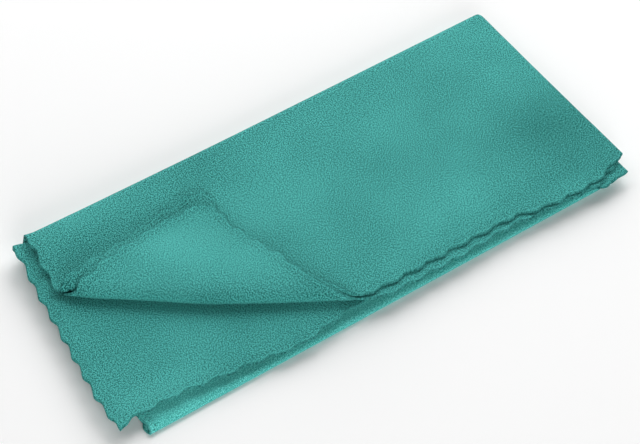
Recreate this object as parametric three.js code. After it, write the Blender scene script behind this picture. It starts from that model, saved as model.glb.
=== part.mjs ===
// A travel towel: one thin microfibre cloth with a wave-cut edge, folded to an oblong pack of eight layers,
// with one corner of its two top layers rolled back. Millimetres, +Z up.
// The pack's long side runs along X. The two ends of the cloth lie at its left side (-X), its near side (-Y)
// shows the free edges over a fold, and its right and far sides are folds. It rests on Z = 0.
import * as THREE from "three";

// ---- Driving dimensions -------------------------------------------------------------------------------

const SHEET = 1.0; // thickness of the cloth
const PITCH = 1.3; // from one layer to the next: the cloth and 0.3 mm of air
const LONG = 199; // pack's length, from its left side to where the end fold's bend starts
const WIDE = 87.6; // pack's width, between where the bends of its two sides start

// The three folds, in the order in which they are made. Each turns what lies past it through half a turn about
// an axis at a height given in layers. The radius, in layers, is what the bend uses of the cloth.
const FOLDS = [
  { name: "end over end", way: "x", axis: 0.5, radius: 0.5 },
  { name: "in half, over", way: "y", axis: 1.5, radius: 1 },
  { name: "in half again, under", way: "y", axis: -0.5, radius: 2 },
];
const [END_BEND, HALF_BEND, QUARTER_BEND] = FOLDS.map(({ radius }) => Math.PI * radius * PITCH);
const LAYERS_UNDER = 4; // layers that the last fold puts under the rest

// Where things lie on the flat cloth: p runs along it and q across it, from 0 to LENGTH and 0 to WIDTH.
const LENGTH = 2 * LONG + END_BEND;
const QUARTERS = [0, WIDE, WIDE + QUARTER_BEND + WIDE, WIDE + QUARTER_BEND + WIDE + HALF_BEND + WIDE];
const WIDTH = QUARTERS[3] + QUARTER_BEND + WIDE;
FOLDS[0].at = LONG;
FOLDS[1].at = QUARTERS[2];
FOLDS[2].at = QUARTERS[1];

// The wave of the cut edge.
const WAVE = { depth: 0.62, lean: 0.2, fade: 5, steps: 4 };
// How many waves each side of the cloth has, and the share of a wave that it starts with. The sides are walked
// anticlockwise: from is where one starts, in lengths and widths, and way is where it goes.
const EDGES = [
  { name: "low side", from: [0, 0], way: [1, 0], waves: 41, start: 0 },
  { name: "second end", from: [1, 0], way: [0, 1], waves: 38, start: 0 },
  { name: "high side", from: [1, 1], way: [-1, 0], waves: 39.65, start: 0.565 },
  { name: "first end", from: [0, 1], way: [0, -1], waves: 38, start: 0 },
];
// How far in from the edges their unevenness fades out. Both stay clear of the folds.
const FADE = { ends: 190, sides: 60 };

// The cloth isn't folded square. How far its two ends reach past the pack's left side, and its end fold past
// LONG, by the quarter of the width: 0 is one side edge, 1 and 3 lie at the far side, 4 is the other side edge.
const ENDS = [
  { quarter: 0, first: 1, second: 14.4, fold: -1.4 },
  { quarter: 0.12, first: 1, second: 14.4, fold: -1.2 },
  { quarter: 0.3, first: 1, second: 13, fold: -0.9 },
  { quarter: 0.5, first: 1, second: 10.8, fold: -0.6 },
  { quarter: 0.75, first: 1, second: 8.2, fold: -0.3 },
  { quarter: 0.95, first: 0.8, second: 5.6, fold: 0 },
  { quarter: 1, first: 0.4, second: 5.2, fold: 0 },
  { quarter: 1.06, first: -0.4, second: 1.2, fold: -0.2 },
  { quarter: 1.2, first: -0.2, second: 0.6, fold: -0.8 },
  { quarter: 1.6, first: 2.2, second: 2.4, fold: -3 },
  { quarter: 2, first: 5, second: 4.4, fold: -5.5 },
  { quarter: 2.5, first: 1.5, second: 1.5, fold: -2.5 },
  { quarter: 3, first: 0.4, second: -0.4, fold: 1 },
  { quarter: 3.08, first: 0.8, second: 0.1, fold: 1 },
  { quarter: 3.15, first: 1.7, second: 0.5, fold: 0.9 },
  { quarter: 3.25, first: 2.5, second: 0.6, fold: 0.9 },
  { quarter: 3.34, first: 3.3, second: 0.9, fold: 0.8 },
  { quarter: 3.47, first: 3.2, second: 0.7, fold: 0.8 },
  { quarter: 3.57, first: 2.2, second: 0.5, fold: 0.8 },
  { quarter: 3.72, first: 1.7, second: -0.4, fold: 0.8 },
  { quarter: 3.8, first: 0.8, second: -0.5, fold: 0.9 },
  { quarter: 3.9, first: -0.4, second: -2.4, fold: 0.9 },
  { quarter: 4, first: -2.7, second: -4.2, fold: 0.9 },
];
// How far the side edges stop short of the pack's near side, by the place x along it. Layers count from the top.
const SIDES = [
  { x: 0, layer1: -8.5, layer2: -3.3, layer3: 2.2, layer4: 6 },
  { x: 6, layer1: -7.6, layer2: -7.2, layer3: 4.1, layer4: 6 },
  { x: 14, layer1: -3.6, layer2: -4.5, layer3: 4, layer4: 6 },
  { x: 24, layer1: -0.6, layer2: -2.1, layer3: 3.7, layer4: 6 },
  { x: 36, layer1: 1.6, layer2: -0.2, layer3: 2, layer4: 6 },
  { x: 50, layer1: 2.4, layer2: 0.9, layer3: 0.3, layer4: 6 },
  { x: 66, layer1: 3, layer2: 1.9, layer3: -2.2, layer4: 4 },
  { x: 78, layer1: 2.4, layer2: 1.6, layer3: -0.6, layer4: 3 },
  { x: 90, layer1: 1, layer2: -2.2, layer3: 1.5, layer4: 3 },
  { x: 120, layer1: 1, layer2: -2.6, layer3: 1.5, layer4: 3 },
  { x: 145, layer1: 0.9, layer2: -1.6, layer3: 0.5, layer4: 2 },
  { x: 151, layer1: 0.3, layer2: -1.9, layer3: -0.5, layer4: 1 },
  { x: 157, layer1: -1.5, layer2: -2.4, layer3: -1.3, layer4: 0 },
  { x: 176, layer1: -2.9, layer2: -3.4, layer3: -2.5, layer4: -1 },
  { x: 183, layer1: -2.9, layer2: -3.6, layer3: -3.4, layer4: -2 },
  { x: 190, layer1: -0.7, layer2: -1.2, layer3: -5, layer4: -3.5 },
  { x: 199, layer1: 2.2, layer2: 2, layer3: -3.6, layer4: -3.6 },
];

// The corner that is rolled back: the roll's line leaves the pack's left side and slants to its near side.
// The path across the line is a chain of arcs. Its nose takes the radius that lets the corner settle one layer up.
const ROLL = { slant: -36.6, inset: 53, start: -37 };
const PATH = [
  { name: "lift", turn: 8, radius: 60, steps: 2 },
  { name: "nose", turn: 150, radius: null, steps: 6 },
  { name: "crest", turn: 42, radius: 60, steps: 5 },
  { name: "settle", turn: -20, radius: 70, steps: 3 },
];
// How full the roll is along its line, from the left side on, and how much later the cloth starts to turn there.
const FULLNESS = [
  { at: 0, full: 0.12, later: 2.3 },
  { at: 10, full: 0.3, later: 1.5 },
  { at: 30, full: 0.5, later: 0.2 },
  { at: 48, full: 0.6, later: 0 },
  { at: 70, full: 0.45, later: 0 },
  { at: 95, full: 0.2, later: 0 },
  { at: 101, full: 0.12, later: 0 },
];

// Soft swellings of the upper layers. Each fades out over its reach, and leaves the bottom layer flat.
const SWELLS = [
  { name: "far left corner", x: 0, y: 88, reachX: 22, reachY: 20, rise: 0.8 },
  { name: "ridge along the far side", x: 22, y: 84, reachX: 48, reachY: 18, rise: 1.2 },
];

const MESH_STEP = 28; // the flat stretches between the folds are cut this coarsely
const RIDGE_ROW = 75; // one more row of cuts, near the far side, where the swellings are
const STRIP = 3; // a strip of this width along the cut edge is meshed by itself
const CROSS_STEP = 9; // and the rolled corner this coarsely along its line
const BEND_STEPS = 6; // facets round half a turn
const PLAIN_CELL = 5; // a cell with more corners than this lies on the wavy edge
const LEAST_AREA = 1e-6; // square millimetres: a thinner triangle is none
const TOUCH = 1e-6; // millimetres
const SQUARING_STEPS = 8;
const TEAL = 0x3f9c94;

// ---- Tables and curves --------------------------------------------------------------------------------

/** A column of a table as a smooth function: a cubic through its rows that doesn't overshoot them. */
function column(rows, place, name) {
  const xs = rows.map((row) => row[place]);
  const ys = rows.map((row) => row[name]);
  const slopes = xs.slice(1).map((x, i) => (ys[i + 1] - ys[i]) / (x - xs[i]));
  const tangents = xs.map((_, i) => {
    if (i === 0) return slopes[0];
    if (i === xs.length - 1) return slopes[i - 1];
    const [before, after] = [slopes[i - 1], slopes[i]];
    return before * after <= 0 ? 0 : (2 * before * after) / (before + after);
  });
  return (value) => {
    const x = THREE.MathUtils.clamp(value, xs[0], xs[xs.length - 1]);
    const i = Math.max(0, xs.findLastIndex((low, k) => low <= x && k < xs.length - 1));
    const step = xs[i + 1] - xs[i];
    const t = (x - xs[i]) / step;
    const [t2, t3] = [t * t, t * t * t];
    return (
      ys[i] * (2 * t3 - 3 * t2 + 1) +
      ys[i + 1] * (3 * t2 - 2 * t3) +
      step * (tangents[i] * (t3 - 2 * t2 + t) + tangents[i + 1] * (t3 - t2))
    );
  };
}

const endReach = {
  first: column(ENDS, "quarter", "first"),
  second: column(ENDS, "quarter", "second"),
  fold: column(ENDS, "quarter", "fold"),
};
const sideStop = {
  layer1: column(SIDES, "x", "layer1"),
  layer2: column(SIDES, "x", "layer2"),
  layer3: column(SIDES, "x", "layer3"),
  layer4: column(SIDES, "x", "layer4"),
};
const fullness = column(FULLNESS, "at", "full");
const lateness = column(FULLNESS, "at", "later");

/** Which quarter of the width the place q is in, as a number from 0 to 4 with whole numbers at the folds. */
function quarterAt(q) {
  const marks = [
    0,
    QUARTERS[1] + QUARTER_BEND / 2,
    QUARTERS[2] + HALF_BEND / 2,
    QUARTERS[3] + QUARTER_BEND / 2,
    WIDTH,
  ];
  const i = THREE.MathUtils.clamp(marks.findLastIndex((mark) => mark <= q), 0, 3);
  return i + (q - marks[i]) / (marks[i + 1] - marks[i]);
}

/** How much of the cloth at p belongs to the second end: 0 on the first half, 1 on the second. */
const secondHalf = (p) => THREE.MathUtils.clamp((p - LONG) / END_BEND, 0, 1);

/** How far along the pack the place p lies, before any unevenness. */
const alongPack = (p) => (p < LENGTH / 2 ? p : LENGTH - p);

// ---- The flat cloth -----------------------------------------------------------------------------------

/** The cut edge's wave at a count of waves: it climbs slowly and drops fast, and dies out at the corners. */
function wave(count, fromCorner) {
  const phase = 2 * Math.PI * count;
  const height = Math.sin(phase) - WAVE.lean * Math.sin(2 * phase);
  return WAVE.depth * height * THREE.MathUtils.smoothstep(fromCorner, 0, WAVE.fade);
}

/** Carries a place on a cloth cut square to the uneven cloth: the edges' reach, faded out inwards. */
function uneven(p, q) {
  const fade = (distance, over) => 1 - THREE.MathUtils.smoothstep(distance, 0, over);
  const [row, x, share] = [quarterAt(q), alongPack(p), secondHalf(p)];
  const low = THREE.MathUtils.lerp(sideStop.layer4(x), sideStop.layer3(x), share);
  const high = THREE.MathUtils.lerp(sideStop.layer1(x), sideStop.layer2(x), share);
  const second = endReach.second(row) + 2 * endReach.fold(row);
  return [
    p - endReach.first(row) * fade(p, FADE.ends) + second * fade(LENGTH - p, FADE.ends),
    q + low * fade(q, FADE.sides) - high * fade(WIDTH - q, FADE.sides),
  ];
}

/** The other way round, in a few steps that each take off what is left of the unevenness. */
function square(p, q) {
  let [squareP, squareQ] = [p, q];
  for (let i = 0; i < SQUARING_STEPS; i++) {
    const [nowP, nowQ] = uneven(squareP, squareQ);
    squareP += p - nowP;
    squareQ += q - nowQ;
  }
  return [squareP, squareQ];
}

/** The cloth's outline on the flat, anticlockwise from p = q = 0. */
function outline() {
  return EDGES.flatMap(({ from, way, waves, start }) => {
    const length = way[0] ? LENGTH : WIDTH;
    const count = Math.round(waves * WAVE.steps);
    return Array.from({ length: count }, (_, i) => {
      const t = i / count;
      const out = wave(-t * waves - start, Math.min(t, 1 - t) * length);
      return uneven(
        from[0] * LENGTH + way[0] * t * LENGTH + way[1] * out,
        from[1] * WIDTH + way[1] * t * WIDTH - way[0] * out,
      );
    });
  });
}

// ---- The folds ----------------------------------------------------------------------------------------

/** Carries a point of the middle surface, and its normal, round one fold. */
function foldOver(point, normal, fold) {
  const past = point[fold.way] - fold.at;
  if (past <= 0) return;
  const bend = fold.radius * PITCH;
  const turn = Math.min(past / bend, Math.PI);
  const rest = Math.max(past - Math.PI * bend, 0);
  const arm = point.z - fold.axis * PITCH;
  const up = -Math.sign(arm);
  const [c, s] = [Math.cos(turn), Math.sin(turn)];
  point[fold.way] = fold.at + Math.abs(arm) * s - rest;
  point.z = fold.axis * PITCH + arm * c;
  const out = normal[fold.way];
  normal[fold.way] = out * c - up * normal.z * s;
  normal.z = normal.z * c + up * out * s;
}

// ---- The rolled corner --------------------------------------------------------------------------------

const slant = THREE.MathUtils.degToRad(ROLL.slant);
const rollLine = new THREE.Vector3(Math.cos(slant), Math.sin(slant), 0);
const rollInward = new THREE.Vector3(-Math.sin(slant), Math.cos(slant), 0);

/** The roll's arcs at a place along its line, for the top layer (below = 0) or the one under it (below = 1). */
function arcs(along, below) {
  const full = fullness(along - ROLL.start);
  const list = PATH.map(({ turn, radius, steps }) => ({
    turn: THREE.MathUtils.degToRad(turn),
    radius: radius * full * Math.sign(turn),
    steps,
  }));
  const rises = [];
  let heading = 0;
  list.forEach(({ turn, radius }, i) => {
    rises[i] = Math.cos(heading) - Math.cos(heading + turn);
    if (PATH[i].radius !== null) rises[i] *= radius;
    heading += turn;
  });
  const nose = PATH.findIndex(({ radius }) => radius === null);
  const others = rises.reduce((sum, rise, i) => (i === nose ? sum : sum + rise), 0);
  list[nose].radius = (PITCH - others) / rises[nose];
  return list.map((arc) => ({ ...arc, radius: arc.radius + below * PITCH }));
}

/** Whether a place on the flat cloth is in the two layers that the roll takes up. */
const inTopPair = (q) => q > QUARTERS[3] + QUARTER_BEND;

/** How far past the roll's line a place lies, how far along it, and how many layers down. */
function toRoll(x, y, p) {
  const along = x * rollLine.x + y * rollLine.y;
  const past = ROLL.inset - lateness(along - ROLL.start) - (x * rollInward.x + y * rollInward.y);
  return { past, along, below: p > LENGTH / 2 ? 1 : 0 };
}

/** The same for a place on the flat cloth, in the two layers that the roll takes up. */
function toRollFromFlat(p, q) {
  const fold = endReach.fold(quarterAt(q));
  const shift = (fold * alongPack(p)) / (LENGTH / 2);
  const x = p > LENGTH / 2 ? LENGTH + 2 * fold - p - shift : p + shift;
  return { ...toRoll(x, WIDTH - q, p), rolls: inTopPair(q) };
}

/** Rolls the corner up and over: the point runs along the arcs, and then straight on. */
function rollBack(point, normal, p, q) {
  const { past, along, below } = toRoll(point.x, point.y, p);
  if (past <= 0 || !inTopPair(q)) return;
  let [left, heading, forward, up] = [past, 0, 0, 0];
  for (const { turn, radius } of arcs(along, below)) {
    const used = THREE.MathUtils.clamp(left / radius, Math.min(turn, 0), Math.max(turn, 0));
    forward += radius * (Math.sin(heading + used) - Math.sin(heading));
    up += radius * (Math.cos(heading) - Math.cos(heading + used));
    heading += used;
    left -= used * radius;
  }
  forward += left * Math.cos(heading);
  up += left * Math.sin(heading);
  point.addScaledVector(rollInward, past - forward);
  point.z += up;
  normal.applyAxisAngle(rollLine, -heading);
}

// ---- The folded sheet ---------------------------------------------------------------------------------

/** Lifts a point by the swellings: the higher it lies in the pack, the more. */
function swell(point) {
  const top = (2 * LAYERS_UNDER - 1) * PITCH;
  const share = Math.max(point.z - SHEET, 0) / top;
  let rise = 0;
  for (const { x, y, reachX, reachY, rise: height } of SWELLS)
    rise += height * Math.exp(-(((point.x - x) / reachX) ** 2) - ((point.y - y) / reachY) ** 2);
  point.z += share * rise;
}

/** The two faces of the folded cloth at a place on the flat: [the face that starts upward, the other]. */
function folded(p, q) {
  const shift = endReach.fold(quarterAt(q)) * (alongPack(p) / (LENGTH / 2));
  const point = new THREE.Vector3(p + shift, q, 0);
  const normal = new THREE.Vector3(0, 0, 1);
  foldOver(point, normal, { ...FOLDS[0], at: FOLDS[0].at + endReach.fold(quarterAt(q)) });
  foldOver(point, normal, FOLDS[1]);
  foldOver(point, normal, FOLDS[2]);
  point.z += LAYERS_UNDER * PITCH + SHEET / 2;
  rollBack(point, normal, p, q);
  return [SHEET / 2, -SHEET / 2].map((offset) => {
    const face = point.clone().addScaledVector(normal, offset);
    swell(face);
    return face;
  });
}

// ---- The mesh -----------------------------------------------------------------------------------------

/**
 * Cuts every cell where level(p, q) is zero. Neighbours share the new points, so no cracks open. A level that
 * is NaN outside some region cuts only inside it, and a cell just outside gains the point on the shared edge.
 */
function cut(cells, points, level) {
  const values = points.map(([p, q]) => level(p, q));
  const crossings = new Map();
  const crossing = (i, j) => {
    const key = i < j ? `${i},${j}` : `${j},${i}`;
    if (!crossings.has(key)) {
      const t = values[i] / (values[i] - values[j]);
      const [a, b] = [points[i], points[j]];
      points.push([a[0] + t * (b[0] - a[0]), a[1] + t * (b[1] - a[1])]);
      values.push(0);
      crossings.set(key, points.length - 1);
    }
    return crossings.get(key);
  };
  return cells.flatMap((cell) => {
    const ring = cell.flatMap((i, k) => {
      const j = cell[(k + 1) % cell.length];
      return values[i] * values[j] < 0 ? [i, crossing(i, j)] : [i];
    });
    const both = ring.some((i) => values[i] > 0) && ring.some((i) => values[i] < 0);
    if (!both || ring.some((i) => Number.isNaN(values[i]))) return [ring];
    return [ring.filter((i) => values[i] >= 0), ring.filter((i) => values[i] <= 0)];
  });
}

/** Triangles over one cell: a fan from the corner that gives the fattest ones, or ears where it is wavy. */
function triangulate(cell, points) {
  const area = ([a, b, c]) => {
    const [[ax, ay], [bx, by], [cx, cy]] = [points[a], points[b], points[c]];
    return ((bx - ax) * (cy - ay) - (cx - ax) * (by - ay)) / 2;
  };
  const fans = cell.map((_, k) => {
    const ring = [...cell.slice(k), ...cell.slice(0, k)];
    const fan = ring.slice(2).map((c, i) => [ring[0], ring[i + 1], c]);
    return { fan, least: Math.min(...fan.map(area)) };
  });
  const best = fans.reduce((a, b) => (b.least > a.least ? b : a));
  if (best.least > LEAST_AREA) return best.fan;
  const outlineOfCell = cell.map((i) => new THREE.Vector2(...points[i]));
  return THREE.ShapeUtils.triangulateShape(outlineOfCell, []).map((face) => face.map((k) => cell[k]));
}

/** The places where straight cuts cross the flat cloth: the folds' facets and a coarse grid between them. */
function straightCuts() {
  const bend = (at, length) => Array.from({ length: BEND_STEPS + 1 }, (_, i) => at + (length * i) / BEND_STEPS);
  const grid = (span) => {
    const count = Math.round(span / MESH_STEP);
    return Array.from({ length: count - 1 }, (_, i) => (span * (i + 1)) / count);
  };
  const columns = grid(LONG);
  const rows = [...grid(WIDE), RIDGE_ROW];
  return {
    p: [...bend(LONG, END_BEND), ...columns, ...columns.map((x) => LENGTH - x)],
    q: [
      ...bend(QUARTERS[1], QUARTER_BEND),
      ...bend(QUARTERS[2], HALF_BEND),
      ...bend(QUARTERS[3], QUARTER_BEND),
      ...rows,
      ...rows.map((y) => QUARTERS[2] - y),
      ...rows.map((y) => QUARTERS[2] + HALF_BEND + y),
      ...rows.map((y) => WIDTH - y),
    ],
  };
}

/** The lines just inside the cut edge, as level functions: they keep the wave's small triangles at the edge. */
function stripCuts() {
  return [
    (p, q) => square(p, q)[1] - STRIP,
    (p, q) => WIDTH - STRIP - square(p, q)[1],
    (p, q) => square(p, q)[0] - STRIP,
    (p, q) => LENGTH - STRIP - square(p, q)[0],
  ];
}

/** The curves on the flat cloth along which one layer's roll is faceted, as level functions. */
function rollCuts(below) {
  const cuts = PATH.flatMap(({ steps }, i) => Array.from({ length: steps }, (_, k) => [i, k / steps]));
  cuts.push([PATH.length, 0]);
  return cuts.map(([section, share]) => (p, q) => {
    const place = toRollFromFlat(p, q);
    if (place.below !== below || !place.rolls) return -1;
    const used = arcs(place.along, below).reduce((sum, { turn, radius }, i) => {
      const part = i < section ? 1 : i === section ? share : 0;
      return sum + part * turn * radius;
    }, 0);
    return place.past - used;
  });
}

/** The straight cuts across the rolled corner, as level functions: they end at the roll's line. */
function crossCuts() {
  const last = FULLNESS[FULLNESS.length - 1].at;
  const count = Math.round(last / CROSS_STEP);
  return Array.from({ length: count - 1 }, (_, i) => (p, q) => {
    const { past, along, rolls } = toRollFromFlat(p, q);
    return rolls && past > -TOUCH ? along - ROLL.start - (last * (i + 1)) / count : NaN;
  });
}

/** The flat cloth cut into triangles, as points and anticlockwise triples of them. */
function flatMesh() {
  const points = outline();
  let cells = [points.map((_, i) => i)];
  const { p: columns, q: rows } = straightCuts();
  for (const at of columns) cells = cut(cells, points, (p) => p - at);
  for (const at of rows) cells = cut(cells, points, (_, q) => q - at);
  for (const level of stripCuts()) cells = cut(cells, points, level);
  // A curved cut crosses a triangle only once, but might graze a wavy cell twice.
  cells = cells.flatMap((cell) => (cell.length > PLAIN_CELL ? triangulate(cell, points) : [cell]));
  for (const level of [...rollCuts(0), ...rollCuts(1), ...crossCuts()]) cells = cut(cells, points, level);
  return { points, triangles: cells.flatMap((cell) => triangulate(cell, points)) };
}

/** The closed sheet: both faces of every triangle, and a rim along the cut edge. */
function sheet() {
  const { points, triangles } = flatMesh();
  const count = points.length;
  const faces = points.map(([p, q]) => folded(p, q));
  const positions = [...faces.map(([upper]) => upper), ...faces.map(([, lower]) => lower)];
  const index = triangles.flatMap(([a, b, c]) => [a, b, c, count + a, count + c, count + b]);
  const edges = new Set(triangles.flatMap(([a, b, c]) => [`${a},${b}`, `${b},${c}`, `${c},${a}`]));
  for (const edge of edges) {
    const [a, b] = edge.split(",").map(Number);
    if (!edges.has(`${b},${a}`)) index.push(a, count + a, count + b, a, count + b, b);
  }
  const geometry = new THREE.BufferGeometry().setFromPoints(positions).setIndex(index);
  geometry.computeBoundingBox();
  const middle = geometry.boundingBox.getCenter(new THREE.Vector3());
  geometry.translate(-middle.x, -middle.y, -geometry.boundingBox.min.z);
  geometry.computeVertexNormals();
  return geometry;
}

const towel = new THREE.Mesh(
  sheet(),
  new THREE.MeshStandardMaterial({ color: TEAL, roughness: 0.9, metalness: 0 }),
);
towel.name = "towel";

const part = new THREE.Group();
part.add(towel);
export default part;
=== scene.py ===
"""A travel towel: one thin microfibre cloth with a wave-cut edge, folded to a pack of eight layers.

The cloth is one closed sheet, worked out from the place on the flat cloth: p runs along it and q across it,
in millimetres. Three folds carry it into the pack, and one corner of the two top layers is rolled back.
Sizes here are in millimetres, and the meshes are in metres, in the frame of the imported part.
"""

from __future__ import annotations

import logging
import math
from dataclasses import dataclass, field
from enum import Enum
from typing import Any, Sequence

import bpy
import numpy as np
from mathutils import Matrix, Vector

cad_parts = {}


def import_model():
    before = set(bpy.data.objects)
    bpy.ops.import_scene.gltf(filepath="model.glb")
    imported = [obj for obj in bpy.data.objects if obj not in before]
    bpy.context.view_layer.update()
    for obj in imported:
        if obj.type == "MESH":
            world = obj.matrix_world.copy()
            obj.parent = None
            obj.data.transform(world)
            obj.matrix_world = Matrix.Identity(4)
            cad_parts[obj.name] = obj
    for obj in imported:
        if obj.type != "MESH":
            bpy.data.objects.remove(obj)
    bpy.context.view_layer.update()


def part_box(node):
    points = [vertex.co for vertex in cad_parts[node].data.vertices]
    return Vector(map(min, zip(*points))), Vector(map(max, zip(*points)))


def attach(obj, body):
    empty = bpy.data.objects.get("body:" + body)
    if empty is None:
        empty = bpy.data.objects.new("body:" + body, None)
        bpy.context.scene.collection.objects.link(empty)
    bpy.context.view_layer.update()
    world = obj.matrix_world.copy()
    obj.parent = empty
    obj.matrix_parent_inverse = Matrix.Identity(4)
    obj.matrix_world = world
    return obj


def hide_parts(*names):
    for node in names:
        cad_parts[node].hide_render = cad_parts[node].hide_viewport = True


LOG = logging.getLogger("travel_towel")
MM = 0.001  # metres
CLOTH_UV = "cloth"  # the place on the flat cloth, in metres
EDGE_UV = "edge"  # the way along the cut edge, and the distance in from it, in metres

Array = np.ndarray


# ---- Curves through tables ---------------------------------------------------


@dataclass(frozen=True)
class Column:
    """One column of a table as a smooth function: a cubic through its rows that doesn't overshoot them."""

    at: Sequence[float]
    value: Sequence[float]

    @classmethod
    def of(cls, rows: Sequence[Any], at: str, value: str) -> "Column":
        """Takes a column out of a table of rows.

        Args:
            rows: The table, ordered by the field named by at.
            at: The field that says where a row lies.
            value: The field that the function gives.

        Returns:
            The column.
        """
        return cls([getattr(row, at) for row in rows], [getattr(row, value) for row in rows])

    def __call__(self, place: Array) -> Array:
        """Gives the value at each place: a Hermite cubic whose tangents are harmonic means of the slopes.

        Args:
            place: Where the value is wanted. Past the first and last rows it stays as there.

        Returns:
            The values, in the shape of place.
        """
        at, value = np.asarray(self.at, float), np.asarray(self.value, float)
        slope = np.diff(value) / np.diff(at)
        before, after = slope[:-1], slope[1:]
        turning = before * after <= 0
        total = np.where(turning, 1.0, before + after)
        inner = np.where(turning, 0.0, 2 * before * after / total)
        tangent = np.concatenate([slope[:1], inner, slope[-1:]])
        x = np.clip(place, at[0], at[-1])
        i = np.clip(np.searchsorted(at, x, side="right") - 1, 0, len(at) - 2)
        step = at[i + 1] - at[i]
        t = (x - at[i]) / step
        t2, t3 = t * t, t * t * t
        return (
            value[i] * (2 * t3 - 3 * t2 + 1)
            + value[i + 1] * (3 * t2 - 2 * t3)
            + step * (tangent[i] * (t3 - 2 * t2 + t) + tangent[i + 1] * (t3 - t2))
        )


def smoothstep(t: Array) -> Array:
    """Gives 3t² - 2t³ with t held between 0 and 1."""
    t = np.clip(t, 0.0, 1.0)
    return t * t * (3 - 2 * t)


# ---- The flat cloth ----------------------------------------------------------


@dataclass(frozen=True)
class EndRow:
    """How far both ends reach past the pack's left side, and the end fold past its line, by quarter."""

    quarter: float
    first: float
    second: float
    fold: float


@dataclass(frozen=True)
class SideRow:
    """How far the side edges stop short of the pack's near side, by the place x along it."""

    x: float
    layer1: float
    layer2: float
    layer3: float
    layer4: float


ENDS = (
    EndRow(0.0, 1.0, 14.4, -1.4),
    EndRow(0.12, 1.0, 14.4, -1.2),
    EndRow(0.3, 1.0, 13.0, -0.9),
    EndRow(0.5, 1.0, 10.8, -0.6),
    EndRow(0.75, 1.0, 8.2, -0.3),
    EndRow(0.95, 0.8, 5.6, 0.0),
    EndRow(1.0, 0.4, 5.2, 0.0),
    EndRow(1.06, -0.4, 1.2, -0.2),
    EndRow(1.2, -0.2, 0.6, -0.8),
    EndRow(1.6, 2.2, 2.4, -3.0),
    EndRow(2.0, 5.0, 4.4, -5.5),
    EndRow(2.5, 1.5, 1.5, -2.5),
    EndRow(3.0, 0.4, -0.4, 1.0),
    EndRow(3.08, 0.8, 0.1, 1.0),
    EndRow(3.15, 1.7, 0.5, 0.9),
    EndRow(3.25, 2.5, 0.6, 0.9),
    EndRow(3.34, 3.3, 0.9, 0.8),
    EndRow(3.47, 3.2, 0.7, 0.8),
    EndRow(3.57, 2.2, 0.5, 0.8),
    EndRow(3.72, 1.7, -0.4, 0.8),
    EndRow(3.8, 0.8, -0.5, 0.9),
    EndRow(3.9, -0.4, -2.4, 0.9),
    EndRow(4.0, -2.7, -4.2, 0.9),
)
SIDES = (
    SideRow(0, -8.5, -3.3, 2.2, 6.0),
    SideRow(6, -7.6, -7.2, 4.1, 6.0),
    SideRow(14, -3.6, -4.5, 4.0, 6.0),
    SideRow(24, -0.6, -2.1, 3.7, 6.0),
    SideRow(36, 1.6, -0.2, 2.0, 6.0),
    SideRow(50, 2.4, 0.9, 0.3, 6.0),
    SideRow(66, 3.0, 1.9, -2.2, 4.0),
    SideRow(78, 2.4, 1.6, -0.6, 3.0),
    SideRow(90, 1.0, -2.2, 1.5, 3.0),
    SideRow(120, 1.0, -2.6, 1.5, 3.0),
    SideRow(145, 0.9, -1.6, 0.5, 2.0),
    SideRow(151, 0.3, -1.9, -0.5, 1.0),
    SideRow(157, -1.5, -2.4, -1.3, 0.0),
    SideRow(176, -2.9, -3.4, -2.5, -1.0),
    SideRow(183, -2.9, -3.6, -3.4, -2.0),
    SideRow(190, -0.7, -1.2, -5.0, -3.5),
    SideRow(199, 2.2, 2.0, -3.6, -3.6),
)


class Side(Enum):
    """The four sides of the flat cloth, walked anticlockwise: where one starts, its way, and outwards."""

    LOW = ((0, 0), (1, 0), (0, -1))
    SECOND_END = ((1, 0), (0, 1), (1, 0))
    HIGH = ((1, 1), (-1, 0), (0, 1))
    FIRST_END = ((0, 1), (0, -1), (-1, 0))

    @property
    def start(self) -> Array:
        """Where the side starts, as shares of the length and width."""
        return np.array(self.value[0], float)

    @property
    def way(self) -> Array:
        """The direction in which the side is walked."""
        return np.array(self.value[1], float)

    @property
    def outward(self) -> Array:
        """The direction out of the cloth."""
        return np.array(self.value[2], float)


@dataclass(frozen=True)
class WaveRow:
    """How many waves a side has, and the share of a wave that it starts with."""

    side: Side
    waves: float
    start: float


@dataclass(frozen=True)
class CutEdge:
    """The wave of the cut edge: it climbs slowly, drops fast and dies out at the corners.

    It also dies out between the two places named calm, where the roll draws the high side's edge flat.
    """

    depth: float = 0.62
    lean: float = 0.2
    fade: float = 5.0
    calm: tuple[float, float] = (47.0, 88.0)
    calm_fade: float = 9.0
    rows: tuple[WaveRow, ...] = (
        WaveRow(Side.LOW, 41.0, 0.0),
        WaveRow(Side.SECOND_END, 38.0, 0.0),
        WaveRow(Side.HIGH, 39.65, 0.565),
        WaveRow(Side.FIRST_END, 38.0, 0.0),
    )

    def angle(self, side: Side, share: Array) -> Array:
        """Gives the wave's angle where a share of a side has been walked."""
        row = next(row for row in self.rows if row.side is side)
        return -2 * math.pi * (row.waves * share + row.start)

    def lively(self, along: Array) -> Array:
        """Gives 0 where the roll draws the high side's edge flat, and 1 away from there.

        Args:
            along: The places along the pack.

        Returns:
            How much of the wave and curl is left at each place.
        """
        start, end = self.calm
        past_start, before_end = (along - start) / self.calm_fade, (end - along) / self.calm_fade
        return 1 - smoothstep(past_start) * smoothstep(before_end)

    def wave(self, side: Side, share: Array, length: float) -> Array:
        """Gives depth * (sin a - lean * sin 2a), with a the wave's angle, faded out where it dies.

        Args:
            side: The side.
            share: How much of it has been walked, from 0 to 1.
            length: Its length.

        Returns:
            How far the edge stands out at each place.
        """
        angle = self.angle(side, share)
        along = np.minimum(share, 1 - share) * length
        left = smoothstep(along / self.fade)
        if side is Side.HIGH:
            left = left * self.lively(along)
        return self.depth * (np.sin(angle) - self.lean * np.sin(2 * angle)) * left


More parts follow.
